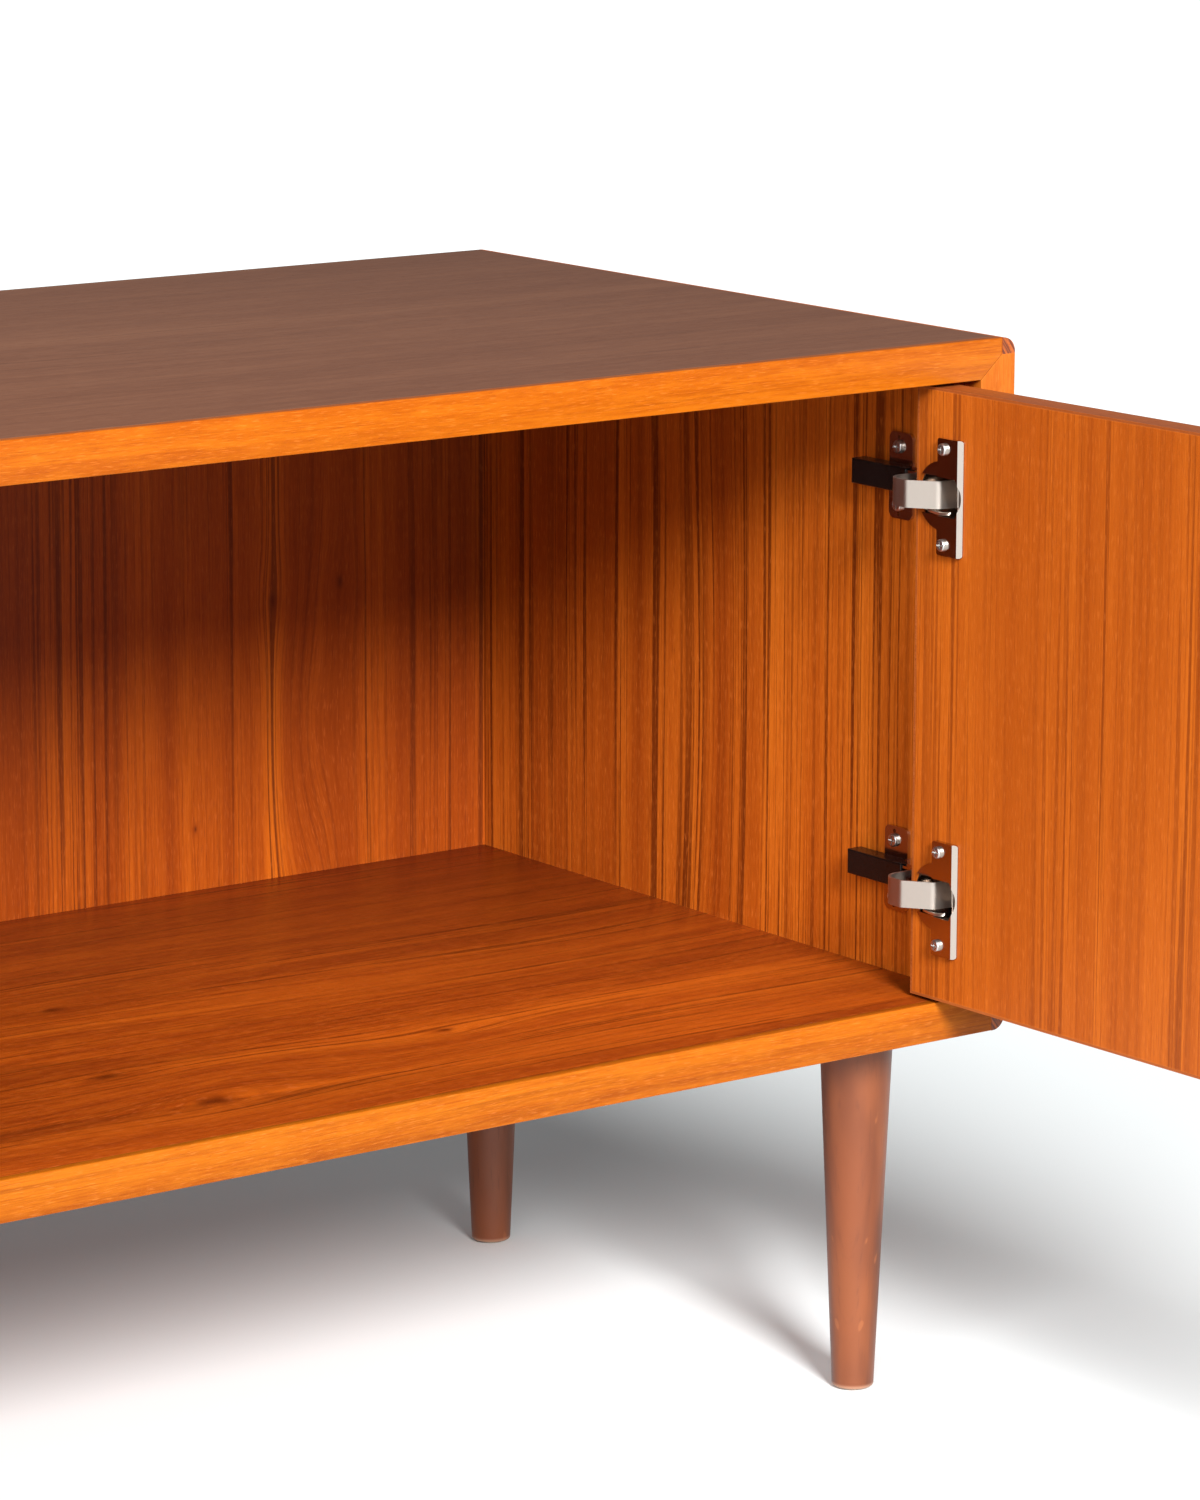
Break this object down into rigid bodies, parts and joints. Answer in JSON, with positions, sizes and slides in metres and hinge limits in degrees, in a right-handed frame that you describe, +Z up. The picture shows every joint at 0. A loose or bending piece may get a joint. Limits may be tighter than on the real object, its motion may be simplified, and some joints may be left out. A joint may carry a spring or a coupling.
{
  "type": "tv stand with doors",
  "caption": "Low wooden TV stand with hinged doors on concealed hinges, a mitred carcase with rounded corners, open bays and round tapered legs.",
  "frame": {"origin": "on the floor, at the bottom centre of the box round the stored pose, which has the right door open; x is zero on the middle plane of the carcase, whose front faces lie at y = 0.077 m", "axes": "+Z up, +X to the right seen from the front, +Y from the front to the back"},
  "size_m": [1.4, 1.13, 0.6],
  "materials": {
    "teak_veneer": "satin oiled veneer",
    "teak_solid": "satin oiled solid teak",
    "leg_wood": "satin stained hardwood",
    "beech": "raw beech",
    "nickel": "polished nickel plate",
    "screw_steel": "bright zinc plate",
    "black_plastic": "satin black moulded plastic",
    "nylon": "matt nylon"
  },
  "bodies": {
    "carcase": {"back_panel": "teak_veneer", "bottom_front_lipping": "teak_solid", "bottom_left_corner_strip": "teak_solid", "bottom_panel": "teak_veneer", "bottom_right_corner_strip": "teak_solid", "centre_partition": "teak_veneer", "corner_splines": "beech", "front_left_leg": "leg_wood", "front_right_leg": "leg_wood", "left_front_lipping": "teak_solid", "left_hinge_arm_covers": "black_plastic", "left_hinge_arm_pins": "nickel", "left_hinge_mounting_plates": "nickel", "left_hinge_plate_screws": "screw_steel", "left_lower_hinge_arm": "nickel", "left_side_panel": "teak_veneer", "left_upper_hinge_arm": "nickel", "leg_glides": "nylon", "leg_insert_nuts": "screw_steel", "leg_studs": "screw_steel", "partition_dowels": "beech", "partition_front_lipping": "teak_solid", "rear_left_leg": "leg_wood", "rear_right_leg": "leg_wood", "right_front_lipping": "teak_solid", "right_hinge_arm_covers": "black_plastic", "right_hinge_arm_pins": "nickel", "right_hinge_mounting_plates": "nickel", "right_hinge_plate_screws": "screw_steel", "right_lower_hinge_arm": "nickel", "right_side_panel": "teak_veneer", "right_upper_hinge_arm": "nickel", "top_front_lipping": "teak_solid", "top_left_corner_strip": "teak_solid", "top_panel": "teak_veneer", "top_right_corner_strip": "teak_solid"},
    "right_outer_links": {"right_lower_hinge_outer_link": "nickel", "right_upper_hinge_outer_link": "nickel"},
    "right_inner_links": {"right_lower_hinge_inner_link": "nickel", "right_upper_hinge_inner_link": "nickel"},
    "right_door": {"right_door_edging": "teak_solid", "right_door_knob": "teak_solid", "right_door_knob_screw": "screw_steel", "right_door_panel": "teak_veneer", "right_hinge_cup_pins": "nickel", "right_hinge_cup_screws": "screw_steel", "right_lower_hinge_cup": "nickel", "right_upper_hinge_cup": "nickel"},
    "left_outer_links": {"left_lower_hinge_outer_link": "nickel", "left_upper_hinge_outer_link": "nickel"},
    "left_inner_links": {"left_lower_hinge_inner_link": "nickel", "left_upper_hinge_inner_link": "nickel"},
    "left_door": {"left_door_edging": "teak_solid", "left_door_knob": "teak_solid", "left_door_knob_screw": "screw_steel", "left_door_panel": "teak_veneer", "left_hinge_cup_pins": "nickel", "left_hinge_cup_screws": "screw_steel", "left_lower_hinge_cup": "nickel", "left_upper_hinge_cup": "nickel"}
  },
  "joints": [
    {"name": "right_outer_links_swing", "type": "hinge", "parent": "carcase", "child": "right_outer_links", "pos_m": [0.6723, 0.0996, 0.4075], "axis": [0, 0, 1], "range_deg": [-19.19, 0.77]},
    {"name": "right_door_swing", "type": "hinge", "parent": "right_outer_links", "child": "right_door", "pos_m": [0.66125, 0.07632, 0.4075], "axis": [0, 0, 1], "range_deg": [-72.22, 2.89]},
    {"name": "right_inner_links_swing", "type": "hinge", "parent": "carcase", "child": "right_inner_links", "pos_m": [0.662, 0.1052, 0.4075], "axis": [0, 0, 1], "range_deg": [-0.57, 14.3]},
    {"name": "left_outer_links_swing", "type": "hinge", "parent": "carcase", "child": "left_outer_links", "pos_m": [-0.6723, 0.0996, 0.4075], "axis": [0, 0, -1], "range_deg": [0, 19.95]},
    {"name": "left_door_swing", "type": "hinge", "parent": "left_outer_links", "child": "left_door", "pos_m": [-0.65421, 0.08124, 0.4075], "axis": [0, 0, -1], "range_deg": [0, 75.11]},
    {"name": "left_inner_links_swing", "type": "hinge", "parent": "carcase", "child": "left_inner_links", "pos_m": [-0.662, 0.1052, 0.4075], "axis": [0, 0, -1], "range_deg": [-14.87, 0]}
  ],
  "couplings": [
    {"joint": "right_outer_links_swing", "follows": "right_door_swing", "ratio": 0.26564},
    {"joint": "right_inner_links_swing", "follows": "right_door_swing", "ratio": -0.19794},
    {"joint": "left_outer_links_swing", "follows": "left_door_swing", "ratio": 0.26564},
    {"joint": "left_inner_links_swing", "follows": "left_door_swing", "ratio": -0.19794}
  ]
}
